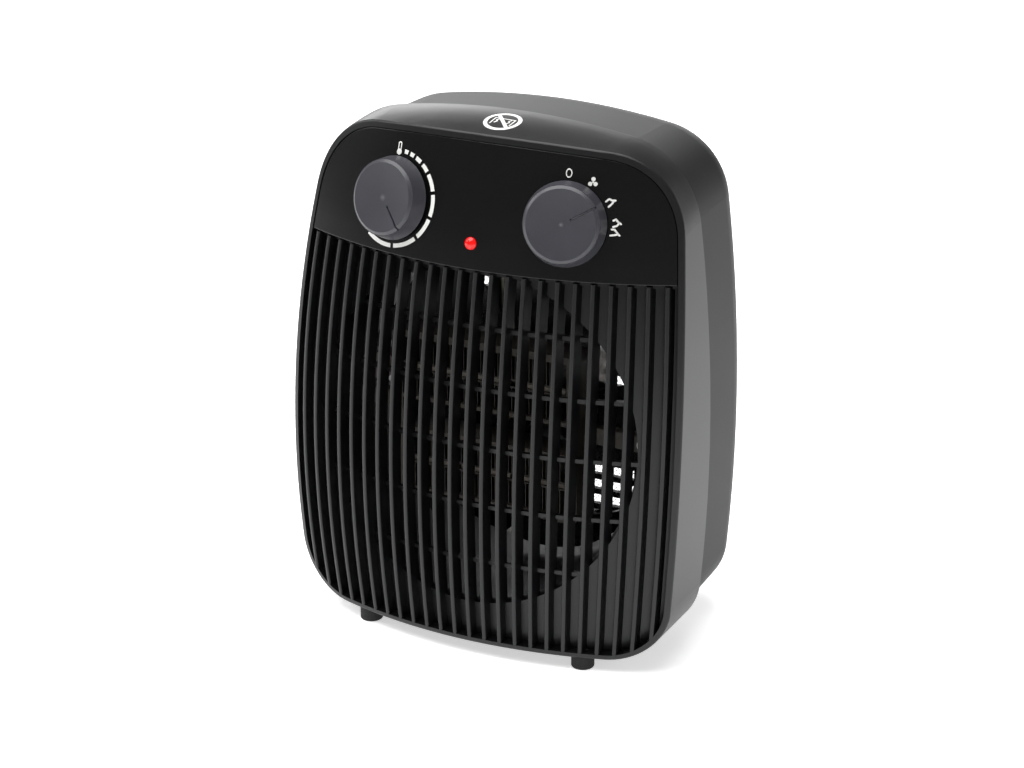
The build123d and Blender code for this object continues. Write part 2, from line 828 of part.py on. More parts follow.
motor_points = [(-motor_screw_spacing / 2, fan_height), (motor_screw_spacing / 2, fan_height)]
spacer_start = duct_end + bracket_thickness
with BuildPart() as motor_spacers:
    with BuildSketch(at_depth(front_plate_start)):
        with Locations(*motor_points):
            Circle(3.6)
            Circle(screw_radius + clear_hole, mode=Mode.SUBTRACT)
    extrude(amount=front_plate_start - spacer_start)
write(motor_spacers, "motor_spacers")
motor_screw_head = rear_plate_start + bearing_plate_thickness
screws("motor_screws", motor_points, motor_screw_head, motor_screw_head - duct_end + 3)
with BuildPart() as motor_nuts:
    with BuildSketch(at_depth(duct_end)):
        with Locations(*motor_points):
            RegularPolygon(3.2, 6)
            Circle(screw_radius, mode=Mode.SUBTRACT)
    extrude(amount=2.2)
write(motor_nuts, "motor_nuts")

# Heating elements: two finned blocks in one frame, one above and one below the fan's middle
element_rows = (
    fan_height + (element_gap + element_height) / 2,
    fan_height - (element_gap + element_height) / 2,
)
element_back = element_front + element_depth
element_play = 0.1
frame_width = element_width + 2 * end_cap + 1.0
frame_height = element_gap + 2 * element_height + 7.0
with BuildPart() as heater_frame:
    with BuildSketch(at_depth(frame_back)):
        with Locations((0, fan_height)):
            RectangleRounded(frame_width, frame_height, 3)
            Rectangle(2 * duct_radius - 2.0, 8.0)
        for height in element_rows:
            with Locations((0, height)):
                Rectangle(
                    element_width + element_play,
                    element_height + element_play,
                    mode=Mode.SUBTRACT,
                )
        with Locations((0, fan_height)):
            Rectangle(element_width, element_gap - 4.0, mode=Mode.SUBTRACT)
    extrude(amount=element_depth + 3.0)
    with BuildSketch(at_depth(frame_back - 5)):
        with Locations((0, fan_height)):
            Rectangle(2 * duct_radius + 10, frame_height + 20)
            Rectangle(frame_width, frame_height + 20, mode=Mode.SUBTRACT)
    extrude(amount=element_depth, mode=Mode.SUBTRACT)
    with BuildSketch(at_depth(frame_back)):
        with Locations(*arm_points):
            Circle(1.2 + clear_hole)
    extrude(amount=8, mode=Mode.SUBTRACT)
write(heater_frame, "heater_frame")

with BuildPart() as heater_screws:
    with BuildSketch(at_depth(frame_back - 5)):
        with Locations(*arm_points):
            Circle(2.4)
    extrude(amount=1.4)
    with BuildSketch(at_depth(frame_back - 5)):
        with Locations(*arm_points):
            Circle(1.15)
    extrude(amount=-9)
write(heater_screws, "heater_screws")

stone_length = element_width / stone_count - 3.0
fin_row = (element_height - stone_thickness - 2 * electrode_thickness) / 2 - 0.05
with BuildPart() as heater_stones:
    with BuildSketch(at_depth(element_back - 1)):
        for height in element_rows:
            with Locations((0, height)):
                with GridLocations(element_width / stone_count, 1, stone_count, 1):
                    Rectangle(stone_length, stone_thickness)
    extrude(amount=element_depth - 2)
write(heater_stones, "heater_stones")
with BuildPart() as heater_electrodes:
    for height in element_rows:
        for side in (-1, 1):
            level = height + side * (stone_thickness + electrode_thickness + 0.04) / 2
            with BuildSketch(at_depth(element_back)):
                with Locations((0, level)):
                    Rectangle(element_width, electrode_thickness)
            extrude(amount=element_depth)
write(heater_electrodes, "heater_electrodes")

fin_count = int(element_width / fin_pitch) - 1
with BuildPart() as heater_fins:
    for height in element_rows:
        for side in (-1, 1):
            inner = stone_thickness / 2 + electrode_thickness + 0.03
            centre = height + side * (inner + fin_row / 2)
            swing = (fin_row - fin_thickness) / 2 - 0.02
            left = -fin_count * fin_pitch / 2
            points = [
                (left + (step + end) * fin_pitch / 2, centre + swing * (-1) ** step)
                for step in range(2 * fin_count)
                for end in (0, 1)
            ]
            with BuildSketch(at_depth(element_back)):
                with BuildLine():
                    Polyline(*points)
                trace(line_width=fin_thickness)
            extrude(amount=element_depth)
write(heater_fins, "heater_fins")

# Thermal cut-out and fuse on the frame's end, in the warm air
cutout_place = (-frame_width / 2 - 9.5, fan_height + 20.0)
cutout_back = frame_back - 4.0
with BuildPart() as thermal_cutout:
    with BuildSketch(at_depth(cutout_back)):
        with Locations(cutout_place):
            Circle(8.0)
    extrude(amount=9)
    with BuildSketch(at_depth(cutout_back - 9)):
        with Locations(cutout_place):
            Circle(6.0)
    extrude(amount=2)
    with BuildSketch(at_depth(cutout_back + 7)):
        with Locations(cutout_place):
            with GridLocations(8.0, 1, 2, 1):
                Rectangle(0.8, 4.8)
    extrude(amount=7)
write(thermal_cutout, "thermal_cutout")
clip_end = -frame_width / 2 - 0.02
with BuildPart() as cutout_clip:
    with BuildSketch(at_depth(cutout_back - 3)):
        with Locations(((cutout_place[0] + clip_end) / 2 - 1, cutout_place[1])):
            Rectangle(clip_end - cutout_place[0] + 2, 20)
        with Locations(cutout_place):
            Circle(8.05, mode=Mode.SUBTRACT)
    extrude(amount=1)
    with BuildSketch(at_depth(cutout_back + 2)):
        with Locations((clip_end - 0.5, cutout_place[1])):
            Rectangle(1, 20)
    extrude(amount=5)
write(cutout_clip, "cutout_clip")
with BuildPart() as thermal_fuse:
    fuse_plane = Plane(
        origin=(frame_width / 2 + 2.25, front_y + element_back - 3, fan_height + 11.0),
        x_dir=(1, 0, 0),
        z_dir=(0, 0, 1),
    )
    with BuildSketch(fuse_plane):
        Circle(2.2)
    extrude(amount=14)
    with BuildSketch(fuse_plane.offset(-5)):
        Circle(0.5)
    extrude(amount=24)
write(thermal_fuse, "thermal_fuse")

# Room thermostat behind the left-hand dial
post_end = shelf_inset + shelf_thickness + post_depth
frame_plate = 1.2
station = dial_planes["thermostat"]
with BuildPart() as thermostat_frame:
    with BuildSketch(station.offset(-post_end - frame_plate)):
        with Locations((0, -6)):
            RectangleRounded(post_spacing + 9, 26, 2)
        with Locations((0, 0)):
            Circle(spindle_radius + running_gap, mode=Mode.SUBTRACT)
        with GridLocations(post_spacing, 1, 2, 1):
            Circle(screw_radius + clear_hole, mode=Mode.SUBTRACT)
    extrude(amount=frame_plate)
    with BuildSketch(station.offset(-post_end)):
        Circle(spindle_radius + 1.8)
        Circle(spindle_radius + running_gap, mode=Mode.SUBTRACT)
    extrude(amount=2.4)
write(thermostat_frame, "thermostat_frame")
stack_start = post_end + frame_plate
stack_place = (0, -14)
with BuildPart() as thermostat_spacers:
    for start, thick in ((0, 5.6), (6.0, 3.6), (10.4, 2.6)):
        with BuildSketch(station.offset(-stack_start - start - thick)):
            with Locations(stack_place):
                Rectangle(9, 7)
        extrude(amount=thick)
write(thermostat_spacers, "thermostat_spacers")
with BuildPart() as thermostat_blades:
    with BuildSketch(station.offset(-stack_start - 6.0)):
        with Locations((0, -4)):
            Rectangle(7, 27)
    extrude(amount=0.4)
    with BuildSketch(station.offset(-stack_start - 10.4)):
        with Locations((0, -4)):
            Rectangle(7, 27)
    extrude(amount=0.8)
write(thermostat_blades, "thermostat_blades")


def dial_screws(name, plane):
    with BuildPart() as pair:
        with BuildSketch(plane.offset(-post_end - frame_plate - screw_head_height)):
            with GridLocations(post_spacing, 1, 2, 1):
                Circle(screw_head_radius)
        extrude(amount=screw_head_height)
        with BuildSketch(plane.offset(-post_end - frame_plate)):
            with GridLocations(post_spacing, 1, 2, 1):
                Circle(screw_radius - thread_gap)
        extrude(amount=frame_plate + post_depth + 0.8)
    write(pair, name)


dial_screws("thermostat_screws", station)

# Rotary switch behind the right-hand dial
switch_station = dial_planes["switch"]
switch_deep = 17.0
with BuildPart() as switch_plate:
    with BuildSketch(switch_station.offset(-post_end - frame_plate)):
        RectangleRounded(post_spacing + 9, 18, 2)
        Circle(spindle_radius + hole_gap, mode=Mode.SUBTRACT)
        with GridLocations(post_spacing, 1, 2, 1):
            Circle(screw_radius + clear_hole, mode=Mode.SUBTRACT)
    extrude(amount=frame_plate)
write(switch_plate, "switch_plate")
with BuildPart() as switch_body:
    with BuildSketch(switch_station.offset(-stack_start - switch_deep)):
        RectangleRounded(post_spacing - 2 * screw_head_radius - 1.0, 26, 2)
    extrude(amount=switch_deep)
    with BuildSketch(switch_station.offset(-stack_start)):
        Circle(spindle_radius + running_gap)
    extrude(amount=-8, mode=Mode.SUBTRACT)
write(switch_body, "switch_body")
with BuildPart() as switch_terminals:
    with BuildSketch(switch_station.offset(-stack_start - switch_deep - 8)):
        with GridLocations(9, 8, 2, 3):
            Rectangle(0.8, 4.8)
    extrude(amount=8)
write(switch_terminals, "switch_terminals")
dial_screws("switch_screws", switch_station)


def spindle(name, plane, turn, depth):
    """Turning shaft with a flat at its outer end, for the knob."""
    face = turned(plane, -turn)
    with BuildPart() as shaft:
        with BuildSketch(face.offset(-depth)):
            Circle(spindle_radius)
        extrude(amount=depth + spindle_reach)
        with BuildSketch(face.offset(knob_lift)):
            with Locations((0, spindle_flat + 5)):
                Rectangle(20, 10)
        extrude(amount=spindle_reach, mode=Mode.SUBTRACT)
        if name == "thermostat_spindle":
            with BuildSketch(face.offset(-stack_start - 0.1)):
                Circle(spindle_radius + 1.2)
            extrude(amount=-1.2)
    write(shaft, name)


spindle("thermostat_spindle", station, thermostat_turn, stack_start + 5.2)
spindle("switch_spindle", switch_station, switch_turn, stack_start + 7.5)


def knob(name, plane, turn):
    """Round knob with a raised, dished disc, a pointer groove and a hub for the spindle."""
    face = turned(plane, -turn)
    disc_height = knob_height + knob_disc_rise
    dish_radius = (knob_disc_radius ** 2 + knob_dish ** 2) / (2 * knob_dish)
    pointer_length = knob_face_radius + 1 - pointer_start
    with BuildPart() as dial:
        with BuildSketch(face.offset(knob_lift)):
            Circle(knob_base_radius)
        with BuildSketch(face.offset(knob_height)):
            Circle(knob_face_radius)
        loft()
        with BuildSketch(face.offset(knob_height)):
            Circle(knob_face_radius - knob_rim_flat)
        with BuildSketch(face.offset(disc_height)):
            Circle(knob_disc_radius)
        loft()
        with Locations(face.offset(disc_height - knob_dish + dish_radius)):
            Sphere(dish_radius, mode=Mode.SUBTRACT)
        with BuildSketch(face.offset(disc_height + 1)):
            with Locations((0, pointer_start + pointer_length / 2)):
                SlotOverall(pointer_length, pointer_width, rotation=90)
        extrude(amount=-(knob_disc_rise + pointer_depth + 1), mode=Mode.SUBTRACT)
        with BuildSketch(face.offset(knob_lift)):
            Circle(knob_face_radius - knob_wall)
            Circle(spindle_radius + knob_hub_wall, mode=Mode.SUBTRACT)
        extrude(amount=knob_height - knob_lift - knob_wall, mode=Mode.SUBTRACT)
        with BuildSketch(face.offset(knob_lift)):
            Circle(spindle_radius + knob_hub_gap)
            with Locations((0, spindle_flat + knob_hub_gap + 5)):
                Rectangle(20, 10, mode=Mode.SUBTRACT)
        extrude(amount=spindle_reach - knob_lift + 0.1, mode=Mode.SUBTRACT)
    write(dial, name)


knob("thermostat_knob", station, thermostat_turn)
knob("switch_knob", switch_station, switch_turn)

# Indicator lamp between the dials
lens_base = -shelf_inset - shelf_thickness - 0.1
cap_radius = (lamp_radius ** 2 + lens_rise ** 2) / (2 * lens_rise)
cap_half = atan2(lamp_radius, cap_radius - lens_rise) / 2
cap_middle = (cap_radius * sin(cap_half), cap_radius * (cos(cap_half) - 1) + lens_rise)
with BuildPart() as indicator_lens:
    profile_plane = Plane(
        origin=lamp_plane.origin, x_dir=lamp_plane.x_dir, z_dir=-lamp_plane.y_dir
    )
    with BuildSketch(profile_plane):
        with BuildLine():
            Polyline(
                (0, lens_rise),
                (0, lens_base - 1.0),
                (lens_flange, lens_base - 1.0),
                (lens_flange, lens_base),
                (lamp_radius, lens_base),
                (lamp_radius, 0),
            )
            ThreePointArc((lamp_radius, 0), cap_middle, (0, lens_rise))
        make_face()
    revolve(axis=Axis(lamp_plane.origin, lamp_plane.z_dir))
write(indicator_lens, "indicator_lens")
lamp_seat = 1.0 - lens_base
with BuildPart() as lamp_holder:
    with BuildSketch(lamp_plane.offset(-lamp_seat - 10)):
        Circle(3.6)
    extrude(amount=10)
    with BuildSketch(lamp_plane.offset(-lamp_seat)):
        Circle(2.6)
    extrude(amount=-9, mode=Mode.SUBTRACT)
write(lamp_holder, "lamp_holder")
with BuildPart() as neon_lamp:
    with BuildSketch(lamp_plane.offset(-lamp_seat - 8.6)):
        Circle(2.2)
    extrude(amount=7.6)
write(neon_lamp, "neon_lamp")

# Terminal block beside the cord inlet
with BuildPart() as terminal_block:
    with BuildSketch(at_depth(block_back)):
        with Locations((0, block_seat + block_size[2] / 2)):
            Rectangle(block_size[0], block_size[2])
    extrude(amount=block_size[1])
    with BuildSketch(at_depth(block_back + 1)):
        with Locations((0, block_seat + block_size[2] / 2 - 1)):
            with GridLocations(10, 1, 3, 1):
                Circle(2.0)
    extrude(amount=block_size[1] + 2, mode=Mode.SUBTRACT)
    with BuildSketch(Plane.XY.offset(block_seat + block_size[2] + 1)):
        with Locations((0, front_y + block_back - 4), (0, front_y + block_back - 12)):
            with GridLocations(10, 1, 3, 1):
                Circle(1.6)
    extrude(amount=-6.5, mode=Mode.SUBTRACT)
write(terminal_block, "terminal_block")
with BuildPart() as terminal_screws:
    with BuildSketch(Plane.XY.offset(block_seat + block_size[2] - 4.8)):
        with Locations((0, front_y + block_back - 4), (0, front_y + block_back - 12)):
            with GridLocations(10, 1, 3, 1):
                Circle(1.55)
    extrude(amount=3.6)
write(terminal_screws, "terminal_screws")
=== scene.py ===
import json
from math import cos, radians, sin

import bmesh
import bpy
from mathutils import Matrix, Vector


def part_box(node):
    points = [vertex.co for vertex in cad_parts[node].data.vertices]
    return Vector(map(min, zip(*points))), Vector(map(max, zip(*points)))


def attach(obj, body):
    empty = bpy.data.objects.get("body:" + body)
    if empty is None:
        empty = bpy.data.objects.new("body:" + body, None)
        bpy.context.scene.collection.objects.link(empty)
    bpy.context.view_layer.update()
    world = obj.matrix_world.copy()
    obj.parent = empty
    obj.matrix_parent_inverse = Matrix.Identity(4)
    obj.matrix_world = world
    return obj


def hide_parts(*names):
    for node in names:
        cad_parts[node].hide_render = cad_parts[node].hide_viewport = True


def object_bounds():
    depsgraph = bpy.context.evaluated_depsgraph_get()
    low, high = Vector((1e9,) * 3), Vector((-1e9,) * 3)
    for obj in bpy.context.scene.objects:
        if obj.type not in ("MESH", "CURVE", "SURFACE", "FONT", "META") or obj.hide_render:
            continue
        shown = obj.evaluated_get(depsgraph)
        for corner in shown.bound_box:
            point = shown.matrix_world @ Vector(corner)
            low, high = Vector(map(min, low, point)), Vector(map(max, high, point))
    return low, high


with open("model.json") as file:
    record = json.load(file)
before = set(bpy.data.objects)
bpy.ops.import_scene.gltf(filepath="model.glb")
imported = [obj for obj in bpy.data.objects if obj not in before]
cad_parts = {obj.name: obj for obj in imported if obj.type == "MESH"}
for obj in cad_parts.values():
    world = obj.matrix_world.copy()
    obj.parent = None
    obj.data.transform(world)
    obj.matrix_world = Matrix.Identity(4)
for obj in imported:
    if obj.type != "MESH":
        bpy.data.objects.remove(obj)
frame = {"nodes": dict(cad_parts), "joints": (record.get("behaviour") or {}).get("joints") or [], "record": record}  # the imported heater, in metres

nodes = frame["nodes"]
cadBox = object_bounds()
mm = 0.001
print("frame loaded:", len(nodes), "nodes")


def linear(colour):
    # sRGB hex to the linear colour that shaders take
    parts = [int(colour[at:at + 2], 16) / 255 for at in (1, 3, 5)]
    return [p / 12.92 if p < 0.0405 else ((p + 0.055) / 1.055) ** 2.4 for p in parts] + [1]


def addNode(tree, kind, sockets=None, **settings):
    # a socket takes either a value or another node's output
    node = tree.nodes.new("ShaderNode" + kind)
    for name, value in settings.items():
        setattr(node, name, value)
    for name, value in (sockets or {}).items():
        if isinstance(value, bpy.types.NodeSocket):
            tree.links.new(value, node.inputs[name])
        else:
            node.inputs[name].default_value = value
    return node


def startMaterial(name, shaderValues):
    material = bpy.data.materials.new(name)
    material.use_nodes = True
    tree = material.node_tree
    shader = tree.nodes["Principled BSDF"]
    for socket, value in shaderValues.items():
        shader.inputs[socket].default_value = value
    place = addNode(tree, "TexCoord").outputs["Object"]
    return material, tree, shader, place


def mixColours(tree, factor, first, second):
    mix = addNode(tree, "Mix", {0: factor, 6: first, 7: second}, data_type="RGBA")
    return mix.outputs[2]


def spread(tree, value, low, high):
    # noise gathers round its middle, so the middle part is stretched over the whole range
    ranged = addNode(tree, "MapRange", {"Value": value, "From Min": 0.3, "From Max": 0.7,
                                        "To Min": low, "To Max": high})
    return ranged.outputs["Result"]


# Moulded plastics and rubber: grain from the mould, and slow drifts in tone and gloss
def moulded(name, look):
    material, tree, shader, place = startMaterial(name, {
        "IOR": look.get("ior", 1.5), "Coat Weight": look.get("coat", 0.0),
        "Coat Roughness": 0.12, "Specular IOR Level": look.get("specular", 0.5)})
    grain = addNode(tree, "TexNoise", {"Vector": place, "Scale": 1 / (look["grain"] * mm),
                                       "Detail": 3.0, "Roughness": 0.55})
    drift = addNode(tree, "TexNoise", {"Vector": place, "Scale": 1 / (look["drift"] * mm),
                                       "Detail": 4.0, "Roughness": 0.6})
    tone = mixColours(tree, spread(tree, drift.outputs["Fac"], 0.0, 1.0),
                      linear(look["colour"]), linear(look["paler"]))
    speckled = mixColours(tree, spread(tree, grain.outputs["Fac"], 0.0, look["speckle"]),
                          tone, linear(look["paler"]))
    tree.links.new(speckled, shader.inputs["Base Color"])
    gloss = spread(tree, drift.outputs["Fac"], look["rough"] - look["roughDrift"],
                   look["rough"] + look["roughDrift"])
    tree.links.new(gloss, shader.inputs["Roughness"])
    bump = addNode(tree, "Bump", {"Height": grain.outputs["Fac"], "Strength": look["bump"],
                                  "Distance": look["depth"] * mm})
    tree.links.new(bump.outputs["Normal"], shader.inputs["Normal"])
    return material


# Metals: streaks from rolling, turning or grinding run along one axis; a cast skin has none
def metal(name, look):
    material, tree, shader, place = startMaterial(name, {
        "Metallic": 1.0, "Anisotropic": look.get("anisotropic", 0.0)})
    streakPlace = addNode(tree, "Mapping", {"Vector": place, "Scale": look["stretch"]})
    streaks = addNode(tree, "TexNoise", {"Vector": streakPlace.outputs[0],
                                         "Scale": 1 / (look["streak"] * mm), "Detail": 5.0})
    tarnish = addNode(tree, "TexNoise", {"Vector": place, "Scale": 1 / (look["tarnishSize"] * mm),
                                         "Detail": 6.0, "Roughness": 0.65})
    tone = mixColours(tree, spread(tree, tarnish.outputs["Fac"], 0.0, 1.0),
                      linear(look["colour"]), linear(look["tarnish"]))
    shade = mixColours(tree, spread(tree, streaks.outputs["Fac"], 0.0, 0.35),
                       tone, linear(look["tarnish"]))
    tree.links.new(shade, shader.inputs["Base Color"])
    tree.links.new(spread(tree, streaks.outputs["Fac"], look["rough"] - 0.08, look["rough"] + 0.1),
                   shader.inputs["Roughness"])
    bump = addNode(tree, "Bump", {"Height": streaks.outputs["Fac"], "Strength": look["bump"],
                                  "Distance": look["depth"] * mm})
    tree.links.new(bump.outputs["Normal"], shader.inputs["Normal"])
    return material


blotchSize = 6  # mm, varnish and heat stains


# Windings and stacked sheets: even ridges along one axis, coloured darker in every groove, with blotches of
# tone; between wire turns the darker groove is painted shade, between stacked sheets it is the dark joint
def ridged(name, look):
    material, tree, shader, place = startMaterial(name, {
        "Metallic": look["metallic"], "Coat Weight": look["coat"], "Coat Roughness": 0.2})
    wavesPerMetre = look["waveScale"] / (look["pitch"] * mm)
    ridges = addNode(tree, "TexWave", {"Vector": place, "Scale": wavesPerMetre,
                                       "Distortion": look["distortion"], "Detail": 1.0},
                     bands_direction=look["axis"], wave_profile="SIN")
    blotches = addNode(tree, "TexNoise", {"Vector": place, "Scale": 1 / (blotchSize * mm), "Detail": 5.0})
    # groove colour in each valley: painted shade between wire turns, the dark joint between sheets
    tone = mixColours(tree, ridges.outputs["Fac"], linear(look["groove"]), linear(look["colour"]))
    shade = mixColours(tree, spread(tree, blotches.outputs["Fac"], 0.0, 0.5),
                       tone, linear(look["blotch"]))
    tree.links.new(shade, shader.inputs["Base Color"])
    tree.links.new(spread(tree, blotches.outputs["Fac"], look["rough"] - 0.08, look["rough"] + 0.12),
                   shader.inputs["Roughness"])
    bump = addNode(tree, "Bump", {"Height": ridges.outputs["Fac"], "Strength": 0.8,
                                  "Distance": look["depth"] * mm})
    tree.links.new(bump.outputs["Normal"], shader.inputs["Normal"])
    return material


plasticLooks = {
    # ABS, spark-eroded mould: a fine even grain that turns light into a soft grey sheen.
    # The real grain is 0.2 mm; it is drawn coarser so that it shows.
    "casing_plastic": dict(colour="#0c0c0d", paler="#131315", grain=0.6, drift=90, speckle=0.3,
                           rough=0.36, roughDrift=0.012, bump=0.3, depth=0.02, specular=0.38),
    # The same ABS in the rear mould, etched a little rougher
    "rear_plastic": dict(colour="#0e0e10", paler="#161618", grain=0.7, drift=90, speckle=0.35,
                         rough=0.5, roughDrift=0.015, bump=0.4, depth=0.03, specular=0.2),
    # Polished-mould ABS: nearly smooth, so it stays deep black beside the grained casing
    "panel_plastic": dict(colour="#070707", paler="#0b0b0c", grain=1.1, drift=80, speckle=0.2,
                          rough=0.25, roughDrift=0.01, bump=0.05, depth=0.01, specular=0.3),
    # Knob ABS with a satin etch that catches a wide, milky highlight
    "knob_plastic": dict(colour="#2f2f34", paler="#3c3c42", grain=0.45, drift=40, speckle=0.5,
                         rough=0.34, roughDrift=0.02, bump=0.35, depth=0.02),
    # Glass-filled nylon, dull and slightly fibrous
    "duct_plastic": dict(colour="#1b1b1d", paler="#2b2b2f", grain=0.9, drift=22, speckle=0.7,
                         rough=0.48, roughDrift=0.08, bump=0.5, depth=0.05),
    "fan_plastic": dict(colour="#141416", paler="#222226", grain=1.5, drift=30, speckle=0.3,
                        rough=0.26, roughDrift=0.05, bump=0.15, depth=0.03),
    "inner_plastic": dict(colour="#161617", paler="#232325", grain=0.8, drift=20, speckle=0.5,
                          rough=0.5, roughDrift=0.06, bump=0.4, depth=0.03),
    # Mica-filled phenolic of the element frame: brown-black with pale flecks
    "frame_plastic": dict(colour="#262320", paler="#4a443c", grain=0.7, drift=10, speckle=0.8,
                          rough=0.55, roughDrift=0.08, bump=0.5, depth=0.05),
    "cutout_plastic": dict(colour="#2a1d18", paler="#3d2c25", grain=0.6, drift=8, speckle=0.6,
                           rough=0.35, roughDrift=0.06, bump=0.3, depth=0.03),
    # Natural nylon: waxy ivory
    "bobbin_plastic": dict(colour="#d8d3c2", paler="#e9e5d8", grain=0.9, drift=12, speckle=0.4,
                           rough=0.42, roughDrift=0.06, bump=0.2, depth=0.02),
    "switch_plastic": dict(colour="#cfcabb", paler="#dedacd", grain=0.9, drift=12, speckle=0.4,
                           rough=0.4, roughDrift=0.06, bump=0.2, depth=0.02),
    "spindle_plastic": dict(colour="#d6d3ca", paler="#e6e3da", grain=0.7, drift=8, speckle=0.3,
                            rough=0.36, roughDrift=0.05, bump=0.2, depth=0.02),
    "block_plastic": dict(colour="#dad7cc", paler="#e8e5db", grain=0.8, drift=10, speckle=0.3,
                          rough=0.45, roughDrift=0.05, bump=0.25, depth=0.02),
    # EPDM rubber: matt, with a dry bloom
    "foot_rubber": dict(colour="#141414", paler="#2a2a2a", grain=0.7, drift=7, speckle=0.7,
                        rough=0.78, roughDrift=0.08, bump=0.6, depth=0.06, specular=0.3),
    # Woven nylon monofilament of the dust screen, a little shiny along each thread
    "screen_mesh": dict(colour="#1a1a1c", paler="#29292c", grain=0.4, drift=6, speckle=0.3,
                        rough=0.34, roughDrift=0.05, bump=0.2, depth=0.01),
    # PTC ceramic, pressed and fired: dark grey with a sandy tooth
    "element_ceramic": dict(colour="#5c564f", paler="#857d73", grain=0.35, drift=5, speckle=0.8,
                            rough=0.7, roughDrift=0.08, bump=0.7, depth=0.05),
    # Steatite spacers: white, faintly glazed
    "spacer_ceramic": dict(colour="#dcd7cb", paler="#efece4", grain=0.4, drift=5, speckle=0.5,
                           rough=0.32, roughDrift=0.06, bump=0.3, depth=0.02),
}
metalLooks = {
    # Zinc plated screws: bluish and bright, with a faint yellow passivation
    "screw_steel": dict(colour="#c3c6ca", tarnish="#9c9889", streak=0.5, stretch=(1, 0.3, 1),
                        tarnishSize=2.0, rough=0.3, bump=0.3, depth=0.02),
    # Galvanised sheet: soft spangle over rolling lines
    "bracket_steel": dict(colour="#b9bcbe", tarnish="#8d9194", streak=0.6, stretch=(0.08, 1, 1),
                          tarnishSize=4.5, rough=0.36, bump=0.25, depth=0.02),
    "shaft_steel": dict(colour="#c9cacc", tarnish="#a3a4a6", streak=0.3, stretch=(1, 6, 1),
                        tarnishSize=3.0, rough=0.2, bump=0.3, depth=0.01, anisotropic=0.4),
    # Turned brass, lightly browned
    "brass_metal": dict(colour="#c9a55c", tarnish="#8f713a", streak=0.3, stretch=(1, 5, 1),
                        tarnishSize=2.0, rough=0.28, bump=0.3, depth=0.01),
    "copper_bar": dict(colour="#c77f5a", tarnish="#8a5238", streak=0.4, stretch=(1, 0.2, 1),
                       tarnishSize=1.5, rough=0.32, bump=0.3, depth=0.01),
    # Die-cast aluminium: pale and dull, with the skin of the mould
    "cast_aluminium": dict(colour="#b4b5b7", tarnish="#8f9093", streak=0.8, stretch=(1, 1, 1),
                           tarnishSize=3.0, rough=0.48, bump=0.6, depth=0.04),
    # Rolled aluminium fins, coloured dark grey as painted shade so that they stay as dim as the shaded inside
    # of the heater: dull, with a trace of rolling lines
    "sheet_aluminium": dict(colour="#55534f", tarnish="#33302d", streak=0.5, stretch=(1, 0.15, 1),
                            tarnishSize=7.0, rough=0.46, bump=0.25, depth=0.015),
    "fuse_metal": dict(colour="#c9c6bb", tarnish="#a39e8f", streak=0.4, stretch=(1, 1, 0.2),
                       tarnishSize=2.5, rough=0.3, bump=0.2, depth=0.01),
}
ridgedLooks = {
    # Stator laminations, 0.5 mm sheets under brown varnish
    "stator_steel": dict(colour="#6f6b66", groove="#2e2a26", blotch="#4b3f33", pitch=1.0, axis="Y",
                         distortion=0.15, metallic=0.75, coat=0.35, rough=0.42, depth=0.12,
                         waveScale=0.314),
    "rotor_steel": dict(colour="#8a8884", groove="#3c3a37", blotch="#5d564d", pitch=1.0, axis="Y",
                        distortion=0.1, metallic=0.9, coat=0.0, rough=0.38, depth=0.1,
                        waveScale=0.314),
    # Enamelled wire, 0.5 mm drawn at 0.8, in close turns
    # its groove colour is painted shade between the turns
    "copper_wire": dict(colour="#b8653a", groove="#4f2414", blotch="#8e4a2a", pitch=0.8, axis="X",
                        distortion=0.6, metallic=0.6, coat=0.6, rough=0.3, depth=0.25,
                        waveScale=0.314),
}
finishes = {name: moulded(name, look) for name, look in plasticLooks.items()}
finishes.update({name: metal(name, look) for name, look in metalLooks.items()})
finishes.update({name: ridged(name, look) for name, look in ridgedLooks.items()})

# Indicator lens: clear red acrylic, lit from behind, so its middle glows hotter than its rim
lensLow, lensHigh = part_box("indicator_lens")
lensMiddle = (lensLow + lensHigh) / 2
lensLook = {"deep": "#8c0404", "hot": "#ff2418", "glow": 1.4, "heart": 3, "ripple": 1.1,
            "bump": 0.1, "depth": 0.05}
lens, tree, shader, place = startMaterial("lens_red", {
    "Roughness": 0.08, "IOR": 1.49, "Transmission Weight": 0.35, "Emission Strength": lensLook["glow"]})
away = addNode(tree, "Mapping", {"Vector": place, "Location": [-c for c in lensMiddle],
                                 "Scale": (1, 0.0, 1)}, vector_type="POINT")
reach = addNode(tree, "VectorMath", {0: away.outputs[0]}, operation="LENGTH")
heart = addNode(tree, "MapRange", {"Value": reach.outputs["Value"], "From Min": 0.0,
                                   "From Max": lensLook["heart"] * mm, "To Min": 1.0, "To Max": 0.0})
ripple = addNode(tree, "TexNoise", {"Vector": place, "Scale": 1 / (lensLook["ripple"] * mm), "Detail": 2.0})
glowTone = mixColours(tree, heart.outputs["Result"], linear(lensLook["deep"]), linear(lensLook["hot"]))
tree.links.new(glowTone, shader.inputs["Emission Color"])
lensTone = mixColours(tree, ripple.outputs["Fac"], linear("#c80a08"), linear("#e01c14"))
tree.links.new(lensTone, shader.inputs["Base Color"])
lensBump = addNode(tree, "Bump", {"Height": ripple.outputs["Fac"], "Strength": lensLook["bump"],
                                  "Distance": lensLook["depth"] * mm})
tree.links.new(lensBump.outputs["Normal"], shader.inputs["Normal"])
finishes["lens_red"] = lens

